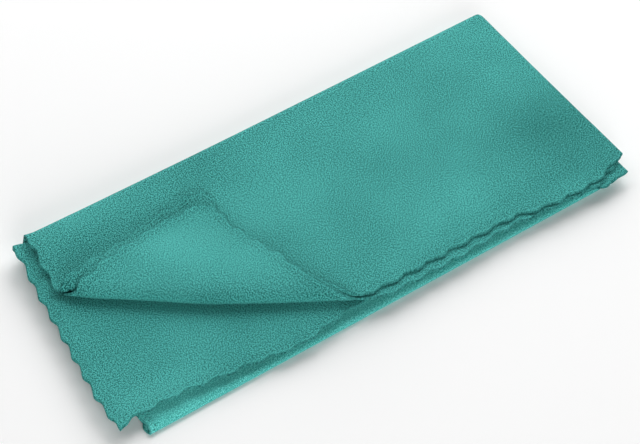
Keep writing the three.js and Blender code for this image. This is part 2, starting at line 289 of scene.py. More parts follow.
@dataclass(frozen=True)
class Fold:
    """A fold: its way (0 along the cloth, 1 across it), and its axis's height and its radius in pitches."""

    way: int
    axis: float
    radius: float


@dataclass(frozen=True)
class Pack:
    """The folded pack: what the three folds use of the cloth, and where a flat place comes to lie.

    The cloth is folded in half end over end, then in half across its width, and then in quarters.
    """

    end_fold: Fold = Fold(0, 0.5, 0.5)
    half_fold: Fold = Fold(1, 1.5, 1.0)
    quarter_fold: Fold = Fold(1, -0.5, 2.0)
    thickness: float = 0.86
    pitch: float = 1.3
    long: float = 199.0
    wide: float = 87.6
    layers_under: int = 4
    rest_height: float = 0.5
    end_fade: float = 190.0
    side_fade: float = 60.0

    @property
    def end_bend(self) -> float:
        """The length of cloth in the end fold's bend."""
        return math.pi * self.end_fold.radius * self.pitch

    @property
    def half_bend(self) -> float:
        """The length of cloth in the bend of the fold in half."""
        return math.pi * self.half_fold.radius * self.pitch

    @property
    def quarter_bend(self) -> float:
        """The length of cloth in each bend of the last fold."""
        return math.pi * self.quarter_fold.radius * self.pitch

    @property
    def length(self) -> float:
        """The cloth's length on the flat."""
        return 2 * self.long + self.end_bend

    @property
    def folds(self) -> tuple[float, float, float]:
        """Where the three folds across the width start."""
        first = self.wide
        second = first + self.quarter_bend + self.wide
        return first, second, second + self.half_bend + self.wide

    @property
    def width(self) -> float:
        """The cloth's width on the flat."""
        return self.folds[2] + self.quarter_bend + self.wide

    def quarter(self, q: Array) -> Array:
        """Gives the quarter of the width that q is in, with whole numbers at the folds' middles."""
        bends = self.quarter_bend, self.half_bend, self.quarter_bend
        middles = [start + bend / 2 for start, bend in zip(self.folds, bends)]
        return np.interp(q, [0, *middles, self.width], range(len(middles) + 2))

    def along(self, p: Array) -> Array:
        """Gives how far along the pack the place p lies: p itself, or its mirror on the second half."""
        return np.where(p < self.length / 2, p, self.length - p)

    def second_half(self, p: Array) -> Array:
        """Gives how much of the cloth at p is the second half: 0, 1, or between in the end fold's bend."""
        return np.clip((p - self.long) / self.end_bend, 0, 1)

    def top_pair(self, q: Array) -> Array:
        """Says whether q is in the two top layers."""
        return q > self.folds[2] + self.quarter_bend

    def stretch(self, p: Array, q: Array) -> tuple[Array, Array]:
        """Carries an even rectangle's place to the uneven cloth: the edges' reach, faded out inwards.

        Args:
            p: The place along the rectangle.
            q: The place across it.

        Returns:
            The place along and across the cloth.
        """
        first, second, fold = (Column.of(ENDS, "quarter", name) for name in ("first", "second", "fold"))
        layers = [Column.of(SIDES, "x", f"layer{n}") for n in (1, 2, 3, 4)]
        row, x, share = self.quarter(q), self.along(p), self.second_half(p)
        high = (1 - share) * layers[0](x) + share * layers[1](x)
        low = (1 - share) * layers[3](x) + share * layers[2](x)

        def fade(distance: Array, over: float) -> Array:
            return smoothstep(1 - distance / over)

        from_first, from_second = fade(p, self.end_fade), fade(self.length - p, self.end_fade)
        from_low, from_high = fade(q, self.side_fade), fade(self.width - q, self.side_fade)
        moved_p = p - first(row) * from_first + (second(row) + 2 * fold(row)) * from_second
        moved_q = q + low * from_low - high * from_high
        return moved_p, moved_q

    def folded(self, p: Array, q: Array) -> tuple[Array, Array]:
        """Carries flat places through the three folds.

        A fold turns what lies past its line through half a turn about an axis: a point at the height h
        goes round on the arm h - axis, and what is left of its way runs back straight.

        Args:
            p: The places along the cloth.
            q: The places across it.

        Returns:
            The points of the middle surface, and the normals of its upper face, each with a last axis of 3.
        """
        reach = Column.of(ENDS, "quarter", "fold")(self.quarter(q))
        shift = reach * self.along(p) / (self.length / 2)
        point = np.stack([p + shift, q, np.zeros_like(p)], axis=-1)
        normal = np.zeros_like(point)
        normal[..., 2] = 1
        for fold, at in (
            (self.end_fold, self.long + reach),
            (self.half_fold, self.folds[1]),
            (self.quarter_fold, self.folds[0]),
        ):
            way, axis, radius = fold.way, fold.axis * self.pitch, fold.radius * self.pitch
            past = np.maximum(point[..., way] - at, 0)
            turn = np.minimum(past / radius, math.pi)
            rest = np.maximum(past - math.pi * radius, 0)
            arm = point[..., 2] - axis
            side = -np.sign(arm)
            c, s = np.cos(turn), np.sin(turn)
            point[..., way] = np.minimum(point[..., way], at) + np.abs(arm) * s - rest
            point[..., 2] = axis + arm * c
            out, up = normal[..., way].copy(), normal[..., 2].copy()
            normal[..., way] = out * c - side * up * s
            normal[..., 2] = up * c + side * out * s
        point[..., 2] += self.layers_under * self.pitch + self.rest_height
        return point, normal


# ---- The rolled corner -------------------------------------------------------


@dataclass(frozen=True)
class Arc:
    """One arc of the roll's path. A radius of None is worked out, so that the corner settles one layer up."""

    turn: float
    radius: float | None


@dataclass(frozen=True)
class FullRow:
    """How full the roll is at a place along its line, and how much later the cloth starts to turn there."""

    at: float
    full: float
    later: float


@dataclass(frozen=True)
class Roll:
    """The corner that is rolled back: its line, the path across it, and how full it is along it."""

    slant: float = -36.6
    inset: float = 53.0
    start: float = -37.0
    path: tuple[Arc, ...] = (Arc(8, 60), Arc(150, None), Arc(42, 60), Arc(-20, 70))
    over_from: float = 0.8
    fullness: tuple[FullRow, ...] = (
        FullRow(0, 0.12, 2.3),
        FullRow(10, 0.3, 1.5),
        FullRow(30, 0.5, 0.2),
        FullRow(48, 0.6, 0.0),
        FullRow(70, 0.45, 0.0),
        FullRow(95, 0.2, 0.0),
        FullRow(101, 0.12, 0.0),
    )

    @property
    def line(self) -> Array:
        """The direction of the roll's line."""
        angle = math.radians(self.slant)
        return np.array([math.cos(angle), math.sin(angle)])

    @property
    def inward(self) -> Array:
        """The direction square to the line, away from the corner."""
        angle = math.radians(self.slant)
        return np.array([-math.sin(angle), math.cos(angle)])

    def arcs(self, along: Array, pitch: float) -> list[tuple[float, Array]]:
        """Gives the turn and radius of each arc at places along the line.

        Args:
            along: The places along the line.
            pitch: The height that the path ends at.

        Returns:
            Each arc's turn in radians and its radius at every place, negative where it turns back.
        """
        full = Column.of(self.fullness, "at", "full")(along - self.start)
        heading, others, nose_rise = 0.0, 0.0, 1.0
        for arc in self.path:
            turn = math.radians(arc.turn)
            rise = math.cos(heading) - math.cos(heading + turn)
            if arc.radius is None:
                nose_rise = rise
            else:
                others = others + rise * arc.radius * np.sign(turn) * full
            heading += turn
        nose = (pitch - others) / nose_rise
        return [
            (math.radians(a.turn), nose if a.radius is None else a.radius * np.sign(a.turn) * full)
            for a in self.path
        ]

    def rolled(
        self, point: Array, normal: Array, rolls: Array, below: Array, pitch: float
    ) -> tuple[Array, Array, Array]:
        """Rolls the corner up and over: a point runs along the arcs, and then straight on.

        Args:
            point: Points of the middle surface.
            normal: Their normals.
            rolls: Which of them belong to the layers that roll.
            below: How many layers each lies below the top one.
            pitch: The distance from layer to layer.

        Returns:
            The rolled points and normals, and how far each is on its way over, from 0 to 1.
        """
        along = point[..., :2] @ self.line
        later = Column.of(self.fullness, "at", "later")(along - self.start)
        past = self.inset - later - point[..., :2] @ self.inward
        left = np.where(rolls, np.maximum(past, 0), 0)
        total = left.copy()
        forward, up, heading = np.zeros_like(left), np.zeros_like(left), np.zeros_like(left)
        for turn, radius in self.arcs(along, pitch):
            outer = radius + below * pitch
            used = np.clip(left / outer, min(turn, 0), max(turn, 0))
            forward += outer * (np.sin(heading + used) - np.sin(heading))
            up += outer * (np.cos(heading) - np.cos(heading + used))
            heading += used
            left = left - used * outer
        forward += left * np.cos(heading)
        up += left * np.sin(heading)
        moved = point.copy()
        moved[..., :2] += (total - forward)[..., None] * self.inward
        moved[..., 2] += up
        ahead = -(normal[..., :2] @ self.inward)
        side = normal[..., :2] @ self.line
        turned_ahead = ahead * np.cos(heading) - normal[..., 2] * np.sin(heading)
        turned = np.empty_like(normal)
        turned[..., :2] = side[..., None] * self.line - turned_ahead[..., None] * self.inward
        turned[..., 2] = normal[..., 2] * np.cos(heading) + ahead * np.sin(heading)
        return moved, turned, smoothstep((heading / math.pi - self.over_from) / (1 - self.over_from))


@dataclass(frozen=True)
class Swell:
    """A soft swelling of the upper layers that fades out over its reach."""

    x: float
    y: float
    reach_x: float
    reach_y: float
    rise: float


@dataclass(frozen=True)
class PressRow:
    """How much of their height the upper and the lower layers lose at the near side, by the place x along it.

    The upper layers slide along the pack as they are pressed: slide is how far for each millimetre they lose.
    """

    x: float
    upper: float
    lower: float
    slide: float


@dataclass(frozen=True)
class Press:
    """How the pack is pressed down to a slope along its near side, and its layers drawn in.

    The lower layers are drawn in by the length draw, the upper ones by a share, slide_in, of what they lose.
    """

    reach: float = 13.0
    draw: float = 1.2
    slide_in: float = 0.63
    rows: tuple[PressRow, ...] = (
        PressRow(-12, 0.26, 0.5, 0.32),
        PressRow(45, 0.26, 0.5, 0.41),
        PressRow(64, 0.14, 0.5, 0.44),
        PressRow(80, 0.1, 0.5, 0.46),
        PressRow(94, 0.16, 0.5, 0.49),
        PressRow(112, 0.24, 0.5, 0.51),
        PressRow(199, 0.24, 0.5, 0.65),
    )

    def pressed(self, point: Array, under: Array) -> Array:
        """Presses points down: each loses its row's share of its height, ever less of it up to the reach.

        Args:
            point: The points.
            under: Which of them belong to the lower layers.

        Returns:
            The pressed points.
        """
        near = 1 - smoothstep(point[..., 1] / self.reach)
        names = ("upper", "lower", "slide")
        upper, lower, slide = (Column.of(self.rows, "x", name)(point[..., 0]) for name in names)
        drop = np.where(under, lower, upper) * near * point[..., 2]
        moved = point.copy()
        moved[..., 0] += np.where(under, 0, slide * drop)
        moved[..., 1] += np.where(under, self.draw * near, self.slide_in * drop)
        moved[..., 2] -= drop
        return moved


@dataclass(frozen=True)
class Curl:
    """How the cut edge stands off the layer below: it lifts towards the edge, and ripples with the wave."""

    lift: float
    reach: float
    ripple: float

    def rise(self, inside: Array, ripple: Array) -> Array:
        """Gives the height at a distance in from the edge: (lift + ripple * wave) * (1 - distance / reach)².

        Args:
            inside: The distance.
            ripple: The wave at that place, from about -1 to 1.

        Returns:
            The height, which is 0 past the reach.
        """
        near = np.maximum(1 - inside / self.reach, 0) ** 2
        return (self.lift + self.ripple * ripple) * near


@dataclass(frozen=True)
class Tug:
    """A place where the layers are pulled a little to one side, all together."""

    x: float
    y: float
    reach: float
    move: tuple[float, float, float]


# ---- The sheet's mesh --------------------------------------------------------


@dataclass
class Towel:
    """The towel's cloth as one closed sheet.

    Its mesh is a grid with the given step and steps to a bend, inside a strip of rings beside the cut edge.
    The shift, from the pack's own corner to the frame's origin in metres, is known once the sheet is built.
    """

    pack: Pack = field(default_factory=Pack)
    roll: Roll = field(default_factory=Roll)
    cut: CutEdge = field(default_factory=CutEdge)
    swells: tuple[Swell, ...] = (
        Swell(0, 88, 20, 16, 0.9),
        Swell(22, 83, 46, 9, 2.2),
        Swell(36, 74, 34, 7, -0.8),
    )
    tugs: tuple[Tug, ...] = (Tug(-6, 92, 5.5, (-0.6, 2.2, 0.8)),)
    press: Press = field(default_factory=Press)
    rest_curl: Curl = Curl(0.1, 6.0, 0.1)
    over_curl: Curl = Curl(1.5, 9.0, 0.35)
    step: float = 2.3
    bend_steps: int = 7
    wide_bend_steps: int = 9
    strip: float = 4.4
    ring_shares: tuple[float, ...] = (0.64, 0.4, 0.2, 0.08, 0.0)
    rim_bulge: float = 0.3
    shift: Array = field(init=False, default_factory=lambda: np.zeros(3))

    def lines(self) -> tuple[Array, Array]:
        """Gives the grid's lines along and across the cloth: close together in the bends, even between."""
        pack = self.pack

        def run(start: float, end: float, count: int) -> Array:
            return np.linspace(start, end, count, endpoint=False)

        flat_long = round(pack.long / self.step)
        flat_wide = round(pack.wide / self.step)
        one, two, three = pack.folds
        along = [
            run(self.strip, pack.long, flat_long),
            run(pack.long, pack.long + pack.end_bend, self.bend_steps),
            run(pack.long + pack.end_bend, pack.length - self.strip, flat_long),
            [pack.length - self.strip],
        ]
        across = [
            run(self.strip, one, flat_wide),
            run(one, one + pack.quarter_bend, self.wide_bend_steps),
            run(one + pack.quarter_bend, two, flat_wide),
            run(two, two + pack.half_bend, self.bend_steps),
            run(two + pack.half_bend, three, flat_wide),
            run(three, three + pack.quarter_bend, self.wide_bend_steps),
            run(three + pack.quarter_bend, pack.width - self.strip, flat_wide),
            [pack.width - self.strip],
        ]
        return np.concatenate(along), np.concatenate(across)

    def ring(self, inset: float, shares: dict[Side, Array]) -> tuple[Array, Array, Array]:
        """Gives one closed loop round the cloth at an even distance in from its edge.

        Args:
            inset: The distance.
            shares: How much of each side has been walked, for each point on it.

        Returns:
            The loop's places on the even rectangle, with the cut's wave in them, the way walked along the
            edge, and the wave at each place, from about -1 to 1.
        """
        size = np.array([self.pack.length, self.pack.width])
        wave_fade = smoothstep(np.array(1 - inset / self.strip))
        places, ways, waves, walked = [], [], [], 0.0
        for side, share in shares.items():
            length = float(size @ np.abs(side.way))
            corner = side.start * (size - 2 * inset) + inset
            run = (length - 2 * inset) * share
            wave = self.cut.wave(side, share, length) * wave_fade
            places.append(corner + run[:, None] * side.way + wave[:, None] * side.outward)
            ways.append(walked + share * length)
            waves.append(wave / self.cut.depth)
            walked += length
        return np.concatenate(places), np.concatenate(ways), np.concatenate(waves)

    def flat_mesh(self) -> tuple[Array, Array, Array, Array, list[Array], Array]:
        """Meshes the even rectangle: a grid inside, and finer rings between it and the cut edge.

        Returns:
            The places, the way along the edge, the distance in from it, the wave, the faces, and the
            outermost loop.
        """
        along, across = self.lines()
        columns, rows = len(along), len(across)
        grid = np.stack(np.meshgrid(along, across, indexing="ij"), axis=-1)
        index = np.arange(columns * rows).reshape(columns, rows)
        loop = np.concatenate([index[:-1, 0], index[-1, :-1], index[:0:-1, -1], index[0, :0:-1]])

        def shares(line: Array, backwards: bool) -> Array:
            share = (line - line[0]) / (line[-1] - line[0])
            return (1 - share[::-1] if backwards else share)[:-1]

        coarse = {
            Side.LOW: shares(along, False),
            Side.SECOND_END: shares(across, False),
            Side.HIGH: shares(along, True),
            Side.FIRST_END: shares(across, True),
        }
        fine = {
            side: np.stack([share, (share + np.append(share[1:], 1.0)) / 2], axis=-1).ravel()
            for side, share in coarse.items()
        }
        inside = np.minimum.reduce(
            [grid[..., 0], grid[..., 1], self.pack.length - grid[..., 0], self.pack.width - grid[..., 1]]
        )
        way = np.zeros(columns * rows)
        way[loop] = self.ring(self.strip, coarse)[1]
        places, ways = [grid.reshape(-1, 2)], [way]
        insides, waves = [inside.ravel()], [np.zeros(columns * rows)]
        faces = [
            np.stack([index[:-1, :-1], index[1:, :-1], index[1:, 1:], index[:-1, 1:]], axis=-1).reshape(-1, 4)
        ]
        last = None
        for ring_share in self.ring_shares:
            place, ring_way, wave = self.ring(ring_share * self.strip, fine)
            new = sum(map(len, places)) + np.arange(len(place))
            places.append(place)
            ways.append(ring_way)
            waves.append(wave)
            insides.append(np.full(len(place), ring_share * self.strip))
            outer = np.roll(new, -1)
            if last is None:
                inner, middle, far = np.roll(loop, -1), new[1::2], np.roll(new[::2], -1)
                faces.append(np.stack([new[::2], middle, loop], axis=-1))
                faces.append(np.stack([middle, inner, loop], axis=-1))
                faces.append(np.stack([middle, far, inner], axis=-1))
            else:
                faces.append(np.stack([new, outer, np.roll(last, -1), last], axis=-1))
            last = new
        return tuple(map(np.concatenate, (places, ways, insides, waves))) + (faces, last)

    def raised(self, point: Array) -> Array:
        """Lifts points by the swellings, and pulls them by the tugs.

        Each is a bell, exp(-distance²) with the distance in reaches. A swelling lifts a point by its share of
        the height, from 0 at the lowest layer's top to 1 at the highest one's.

        Args:
            point: The points.

        Returns:
            The moved points.
        """
        x, y, z = point[..., 0], point[..., 1], point[..., 2]
        lowest_top = 2 * self.pack.rest_height
        top = (2 * self.pack.layers_under - 1) * self.pack.pitch
        share = np.maximum(z - lowest_top, 0) / top
        lifted = point.copy()
        for swell in self.swells:
            away = ((x - swell.x) / swell.reach_x) ** 2 + ((y - swell.y) / swell.reach_y) ** 2
            lifted[..., 2] += share * swell.rise * np.exp(-away)
        for tug in self.tugs:
            away = ((x - tug.x) / tug.reach) ** 2 + ((y - tug.y) / tug.reach) ** 2
            lifted += np.exp(-away)[..., None] * np.array(tug.move)
        return lifted

    def shape(self, p: Array, q: Array, inside: Array, wave: Array) -> tuple[Array, Array, Array]:
        """Carries places on the flat cloth to where they lie in the pack.

        Args:
            p: The places along the cloth.
            q: The places across it.
            inside: Their distances in from the cut edge.
            wave: The wave there, from about -1 to 1.

        Returns:
            The points of the middle surface before it settles, and of its upper and lower faces.
        """
        pack = self.pack
        point, normal = pack.folded(p, q)
        below = (p > pack.length / 2).astype(float)
        point, normal, over = self.roll.rolled(point, normal, pack.top_pair(q), below, pack.pitch)
        curled = over * self.cut.lively(pack.along(p))
        point[..., 2] += (1 - over) * self.rest_curl.rise(inside, wave)
        point[..., 2] += curled * self.over_curl.rise(inside, wave)
        quarter = pack.quarter(q)
        under = (quarter > 1) & (quarter < 3)

        def settled(face: Array) -> Array:
            return self.raised(self.press.pressed(face, under))

        half = pack.thickness / 2
        return point, settled(point + half * normal), settled(point - half * normal)

    def build(self) -> bpy.types.Object:
        """Builds the sheet: both faces of the folded middle surface, and a rounded rim along the cut edge.

        Returns:
            The towel's object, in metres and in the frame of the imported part.
        """
        even, way, inside, wave, faces, edge = self.flat_mesh()
        p, q = self.pack.stretch(even[:, 0], even[:, 1])
        point, upper, lower = self.shape(p, q, inside, wave)
        ring_inside = edge - len(edge)  # it has as many points as the edge
        outward = point[edge] - point[ring_inside]
        outward /= np.linalg.norm(outward, axis=-1, keepdims=True)
        rim = (upper[edge] + lower[edge]) / 2 + self.rim_bulge * outward
        points = np.concatenate([upper, lower, rim])
        count = len(upper)
        middle = 2 * count + np.arange(len(edge))
        after, middle_after = np.roll(edge, -1), np.roll(middle, -1)
        faces = [
            *faces,
            *[face[:, ::-1] + count for face in faces],
            np.stack([edge + count, after + count, middle_after, middle], axis=-1),
            np.stack([middle, middle_after, after, edge], axis=-1),
        ]
        place = np.stack([p, q], axis=-1) * MM
        along_edge = np.stack([way, inside], axis=-1) * MM
        cloth_uv = np.concatenate([place, place, place[edge]])
        edge_uv = np.concatenate([along_edge, along_edge, along_edge[edge]])
        low, high = (np.array(corner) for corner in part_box("towel"))
        centre = (points.min(axis=0) + points.max(axis=0)) / 2
        self.shift = (low + high) / 2 - centre * MM
        self.shift[2] = low[2] - points[:, 2].min() * MM
        around = 2 * (self.pack.length + self.pack.width) * MM
        return self.assembled(points * MM + self.shift, faces, cloth_uv, edge_uv, around)

    def assembled(
        self, points: Array, faces: list[Array], cloth_uv: Array, edge_uv: Array, around: float
    ) -> bpy.types.Object:
        """Puts the arrays into a mesh, with its two UV maps.

        Args:
            points: The vertices, in metres.
            faces: The faces, as arrays of three or four vertices each.
            cloth_uv: Each vertex's place on the flat cloth.
            edge_uv: Each vertex's way along the cut edge and distance from it.
            around: The whole way round the edge.

        Returns:
            The towel's object.
        """
        mesh = bpy.data.meshes.new("towel_cloth")
        mesh.vertices.add(len(points))
        mesh.vertices.foreach_set("co", points.ravel())
        corners = np.concatenate([face.ravel() for face in faces])
        sizes = np.concatenate([np.full(len(face), face.shape[1]) for face in faces])
        starts = np.concatenate([[0], np.cumsum(sizes)[:-1]])
        mesh.loops.add(len(corners))
        mesh.loops.foreach_set("vertex_index", corners)
        mesh.polygons.add(len(sizes))
        mesh.polygons.foreach_set("loop_start", starts)
        corner_edge = edge_uv[corners]
        widest = np.maximum.reduceat(corner_edge[:, 0], starts)
        wraps = np.repeat(widest, sizes) - corner_edge[:, 0] > around / 2
        corner_edge[:, 0] += np.where(wraps, around, 0)
        for name, values in ((CLOTH_UV, cloth_uv[corners]), (EDGE_UV, corner_edge)):
            layer = mesh.uv_layers.new(name=name)
            layer.data.foreach_set("uv", values.ravel())
        mesh.update(calc_edges=True)
        mesh.validate()
        mesh.shade_smooth()
        towel = bpy.data.objects.new("towel_cloth", mesh)
        bpy.context.scene.collection.objects.link(towel)
        return towel


# ---- Shader maths ------------------------------------------------------------


class Value:
    """A number in a shader: an expression on values adds its Math nodes."""

    def __init__(self, shader: "Shader", socket: bpy.types.NodeSocket) -> None:
        """Wraps a socket of a shader."""
        self.shader = shader
        self.socket = socket

    def _with(self, operation: str, *operands: Any) -> "Value":
        """Adds one Math node.

        Args:
            operation: The node's operation.
            operands: Its inputs, as numbers or values.

        Returns:
            The result.
        """
        node = self.shader.node("ShaderNodeMath", {"operation": operation}, dict(enumerate(operands)))
        return Value(self.shader, node.outputs[0])

    def __add__(self, other: "Value | float") -> "Value":
        """Adds."""
        return self._with("ADD", self, other)

    __radd__ = __add__

    def __sub__(self, other: "Value | float") -> "Value":
        """Takes away."""
        return self._with("SUBTRACT", self, other)

    def __rsub__(self, other: "Value | float") -> "Value":
        """Takes this away from a number."""
        return self._with("SUBTRACT", other, self)

    def __mul__(self, other: "Value | float") -> "Value":
        """Multiplies."""
        return self._with("MULTIPLY", self, other)

    __rmul__ = __mul__

    def __truediv__(self, other: "Value | float") -> "Value":
        """Divides."""
        return self._with("DIVIDE", self, other)

    def power(self, exponent: float) -> "Value":
        """Raises to a power."""
        return self._with("POWER", self, exponent)

    def fraction(self) -> "Value":
        """Gives what is left over whole numbers."""
        return self._with("FRACT", self)

    def size(self) -> "Value":
        """Gives the number without its sign."""
        return self._with("ABSOLUTE", self)

    def ramp(self, low: float, high: float) -> "Value":
        """Goes smoothly from 0 at low to 1 at high.

        Args:
            low: Where it is 0.
            high: Where it is 1. It may be less than low.

        Returns:
            The ramp.
        """
        inputs = {"Value": self, "From Min": low, "From Max": high}
        node = self.shader.node("ShaderNodeMapRange", {"interpolation_type": "SMOOTHSTEP"}, inputs)
        return Value(self.shader, node.outputs["Result"])


@dataclass(frozen=True)
class Speckle:
    """A noise: its features' size in millimetres, how many finer layers it has, and how strong they are."""

    size: float
    detail: float
    roughness: float


class Shader:
    """A material's node tree, with one Principled shader."""

    def __init__(self, name: str) -> None:
        """Makes an empty material of the given name."""
        self.material = bpy.data.materials.new(name)
        self.material.use_nodes = True
        self.tree = self.material.node_tree
        self.principled = self.tree.nodes["Principled BSDF"]

    def put(self, node: bpy.types.Node, inputs: dict[Any, Any]) -> None:
        """Sets a node's inputs: a value or socket is linked, anything else is stored on the socket.

        Args:
            node: The node.
            inputs: Socket name or number, and what goes in.
        """
        for key, given in inputs.items():
            source = given.socket if isinstance(given, Value) else given
            if isinstance(source, bpy.types.NodeSocket):
                self.tree.links.new(source, node.inputs[key])
            else:
                node.inputs[key].default_value = source

    def node(self, kind: str, settings: dict[str, Any], inputs: dict[Any, Any]) -> bpy.types.Node:
        """Adds a node.

        Args:
            kind: The node's type.
            settings: Its properties, set before its inputs.
            inputs: What goes into its sockets.

        Returns:
            The node.
        """
        made = self.tree.nodes.new(kind)
        for name, setting in settings.items():
            setattr(made, name, setting)
        self.put(made, inputs)
        return made

    def uv(self, name: str) -> bpy.types.NodeSocket:
        """Reads one of the piece's UV maps."""
        return self.node("ShaderNodeUVMap", {"uv_map": name}, {}).outputs["UV"]

    def parts(self, vector: bpy.types.NodeSocket) -> tuple[Value, Value]:
        """Splits a vector into its first two numbers."""
        node = self.node("ShaderNodeSeparateXYZ", {}, {"Vector": vector})
        return Value(self, node.outputs["X"]), Value(self, node.outputs["Y"])

    def noise(self, vector: bpy.types.NodeSocket, speckle: Speckle) -> Value:
        """Gives a noise.

        Args:
            vector: Where it is read, in metres.
            speckle: What it is like.

        Returns:
            The noise, from about 0.3 to 0.7.
        """
        inputs = {
            "Vector": vector,
            "Scale": 1 / (speckle.size * MM),
            "Detail": speckle.detail,
            "Roughness": speckle.roughness,
        }
        node = self.node("ShaderNodeTexNoise", {"noise_dimensions": "2D"}, inputs)
        return Value(self, node.outputs["Fac"])

    def blend(self, amount: Value, first: Any, second: Any) -> bpy.types.NodeSocket:
        """Mixes two colours.

        Args:
            amount: How much of the second there is.
            first: The first colour.
            second: The second colour.

        Returns:
            The mixed colour.
        """
        factor, first_colour, second_colour, result = 0, 6, 7, 2  # the node's sockets for colours
        node = self.node("ShaderNodeMix", {"data_type": "RGBA"}, {})
        self.put(node, {factor: amount, first_colour: first, second_colour: second})
        return node.outputs[result]


def colour(red: int, green: int, blue: int) -> tuple[float, float, float, float]:
    """Turns a colour as shown on a screen, from 0 to 255, into the shader's linear one by the sRGB curve."""

    def linear(part: int) -> float:
        share = part / 255
        return share / 12.92 if share <= 0.04045 else ((share + 0.055) / 1.055) ** 2.4

    return linear(red), linear(green), linear(blue), 1.0


@dataclass(frozen=True)
class PaintedShading:
    """Painted light or shade: a place on the flat cloth, in millimetres, lighter or darker, fading out over a
    reach.
    """

    p: float
    q: float
    reach_p: float
    reach_q: float
    tone: float


@dataclass(frozen=True)
class Microfibre:
    """Matt pebbled microfibre in one teal, with a sealed cut edge and pricked rows of dots beside it.

    The colour runs from dark to light with the tone, and is painted lighter along the near fold, as painted
    light.
    It is melted where heat has pressed the cloth, in the dots, and darker along the rim, partly as the sealed
    edge's colour and partly as painted shade. Lengths are in millimetres. A core is the share of a dot, rim or
    strip of painted light that has its full strength.
    """

    dark: tuple[int, int, int] = (2, 92, 86)
    light: tuple[int, int, int] = (96, 207, 200)
    # The two colours below paint light: the teal along the near fold is painted lighter, as painted light.
    lit_fold_dark: tuple[int, int, int] = (42, 160, 152)
    lit_fold_light: tuple[int, int, int] = (122, 236, 228)
    # This colour marks the dots. Along the rim it is partly the sealed edge's own colour and partly painted
    # shade.
    melted_and_edge_shade: tuple[int, int, int] = (20, 92, 88)
    fine: Speckle = Speckle(0.31, 1.5, 0.55)
    pebble: Speckle = Speckle(0.47, 1.0, 0.5)
    patch: Speckle = Speckle(42.0, 2.0, 0.5)
    fine_share: float = 0.6
    grain_range: tuple[float, float] = (0.37, 0.63)
    grain_height: float = 0.11
    patch_strength: float = 0.4
    # Where the painted light along the near fold lies, how far it reaches, and the share at full strength.
    lit_fold_at: float = 183.6
    lit_fold_reach: float = 9.0
    lit_fold_core: float = 0.5
    dot_step: float = 1.65
    dot_rows: tuple[float, ...] = (1.7, 2.7)
    dot_size: float = 0.36
    dot_core: float = 0.3
    dot_strength: float = 0.7
    dot_depth: float = 1.6
    # The rim is darkened along the cut edge: partly the sealed edge's colour, partly painted shade.
    rim: float = 0.5
    rim_core: float = 0.4
    rim_strength: float = 0.45
    roughness: float = 0.92
    specular: float = 0.25
    sheen: float = 0.08
    sheen_roughness: float = 0.45
    sheen_tint: tuple[int, int, int] = (110, 225, 220)
    # Painted light and shade: places painted lighter or darker that stand in for light and shade on the pack.
    painted_shading: tuple[PaintedShading, ...] = (
        PaintedShading(186, 343, 38, 36, -0.24),
        PaintedShading(12, 303, 34, 20, -0.18),
        PaintedShading(386, 350, 20, 20, 0.15),
        PaintedShading(370, 360, 20, 20, 0.13),
        PaintedShading(354, 368, 20, 18, 0.17),
        PaintedShading(360, 344, 16, 12, -0.14),
        PaintedShading(396, 6, 34, 12, 0.12),
    )

    def dress(self, piece: bpy.types.Object) -> None:
        """Makes the material and puts it on a piece that has both UV maps.

        Args:
            piece: The piece.
        """
        shader = Shader("teal_microfibre")
        cloth = shader.uv(CLOTH_UV)
        way, inside = shader.parts(shader.uv(EDGE_UV))
        grain, dots = self.grain(shader, cloth), self.dots(way, inside)
        # Darker along the rim: partly the sealed edge's colour, partly painted shade at the cut edge.
        rim = inside.ramp(self.rim * MM, self.rim * self.rim_core * MM)
        melted_and_edge_shade = colour(*self.melted_and_edge_shade)
        base = shader.blend(dots * self.dot_strength, self.teal(shader, cloth, grain), melted_and_edge_shade)
        relief = {
            "Strength": 1.0,
            "Distance": self.grain_height * MM,
            "Height": grain - dots * self.dot_depth,
        }
        surface = {
            "Base Color": shader.blend(rim * self.rim_strength, base, melted_and_edge_shade),
            "Normal": shader.node("ShaderNodeBump", {}, relief).outputs["Normal"],
            "Roughness": self.roughness,
            "Specular IOR Level": self.specular,
            "Sheen Weight": self.sheen,
            "Sheen Roughness": self.sheen_roughness,
            "Sheen Tint": colour(*self.sheen_tint),
        }
        shader.put(shader.principled, surface)
        piece.data.materials.append(shader.material)

    def grain(self, shader: Shader, cloth: bpy.types.NodeSocket) -> Value:
        """Gives the pebbled grain: two noises mixed and stretched, from 0 in its pits to 1 on its tops.

        Args:
            shader: The material's shader.
            cloth: The place on the flat cloth.

        Returns:
            The grain.
        """
        fine, pebble = shader.noise(cloth, self.fine), shader.noise(cloth, self.pebble)
        mixed = fine * self.fine_share + pebble * (1 - self.fine_share)
        return mixed.ramp(*self.grain_range)

    def teal(self, shader: Shader, cloth: bpy.types.NodeSocket, grain: Value) -> bpy.types.NodeSocket:
        """Gives the teal: its tone is the grain, with wide patches and the painted light and shade added to
        it.

        Args:
            shader: The material's shader.
            cloth: The place on the flat cloth.
            grain: The grain.

        Returns:
            The colour, painted lighter along the near fold as painted light.
        """
        p, q = shader.parts(cloth)
        patch = shader.noise(cloth, self.patch)
        tone = grain + patch * self.patch_strength - self.patch_strength / 2
        # Each place adds painted light or painted shade to the tone.
        for fade in self.painted_shading:
            across = (p / MM - fade.p) * (1 / fade.reach_p)
            down = (q / MM - fade.q) * (1 / fade.reach_q)
            away = (across * across + down * down).power(0.5)
            tone = tone + away.ramp(1.0, 0.0) * fade.tone
        # Painted light: the teal is painted lighter along the near fold, fading out over the reach.
        lit_fold = (q / MM - self.lit_fold_at).size().ramp(self.lit_fold_reach, self.lit_fold_reach * self.lit_fold_core)
        off_fold_colour = shader.blend(tone, colour(*self.dark), colour(*self.light))
        lit_fold_colour = shader.blend(tone, colour(*self.lit_fold_dark), colour(*self.lit_fold_light))
        return shader.blend(lit_fold, off_fold_colour, lit_fold_colour)

